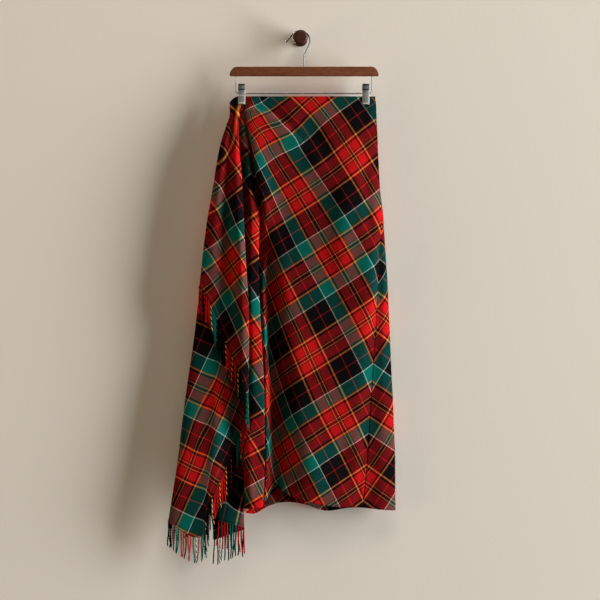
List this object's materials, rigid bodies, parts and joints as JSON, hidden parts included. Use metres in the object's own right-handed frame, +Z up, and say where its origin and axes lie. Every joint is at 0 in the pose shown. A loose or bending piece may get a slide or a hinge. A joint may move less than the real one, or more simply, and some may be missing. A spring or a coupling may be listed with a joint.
{
  "type": "tartan skirt",
  "caption": "Long bias-cut tartan wool skirt with a fringed side drape, hung by clips from a wooden bar hanger on a round wall peg.",
  "frame": {"origin": "centre of the wall peg's back face, where it meets the wall", "axes": "+Z up, +Y into the wall, so the skirt's front faces -Y and +X is the viewer's right"},
  "size_m": [0.5326, 0.0888, 1.2584],
  "materials": {
    "tartan": "soft brushed wool twill",
    "fringe_wool": "twisted wool yarn",
    "walnut": "satin",
    "peg_wood": "satin",
    "steel": "polished",
    "grip": "ribbed"
  },
  "bodies": {
    "root": {"wall_peg": "peg_wood", "hanger_hook": "steel", "hanger_bar": "walnut", "hanger_wire": "steel", "clip_left_hub": "steel", "clip_left_front": "steel", "clip_left_back": "steel", "clip_left_grip": "grip", "clip_right_hub": "steel", "clip_right_front": "steel", "clip_right_back": "steel", "clip_right_grip": "grip", "skirt_front": "tartan", "skirt_back": "tartan", "drape_outer": "tartan", "drape_inner": "tartan", "fringe_upper": "fringe_wool", "fringe_side": "fringe_wool", "fringe_lower": "fringe_wool", "fringe_behind": "fringe_wool", "fringe_inner": "fringe_wool"}
  },
  "joints": []
}
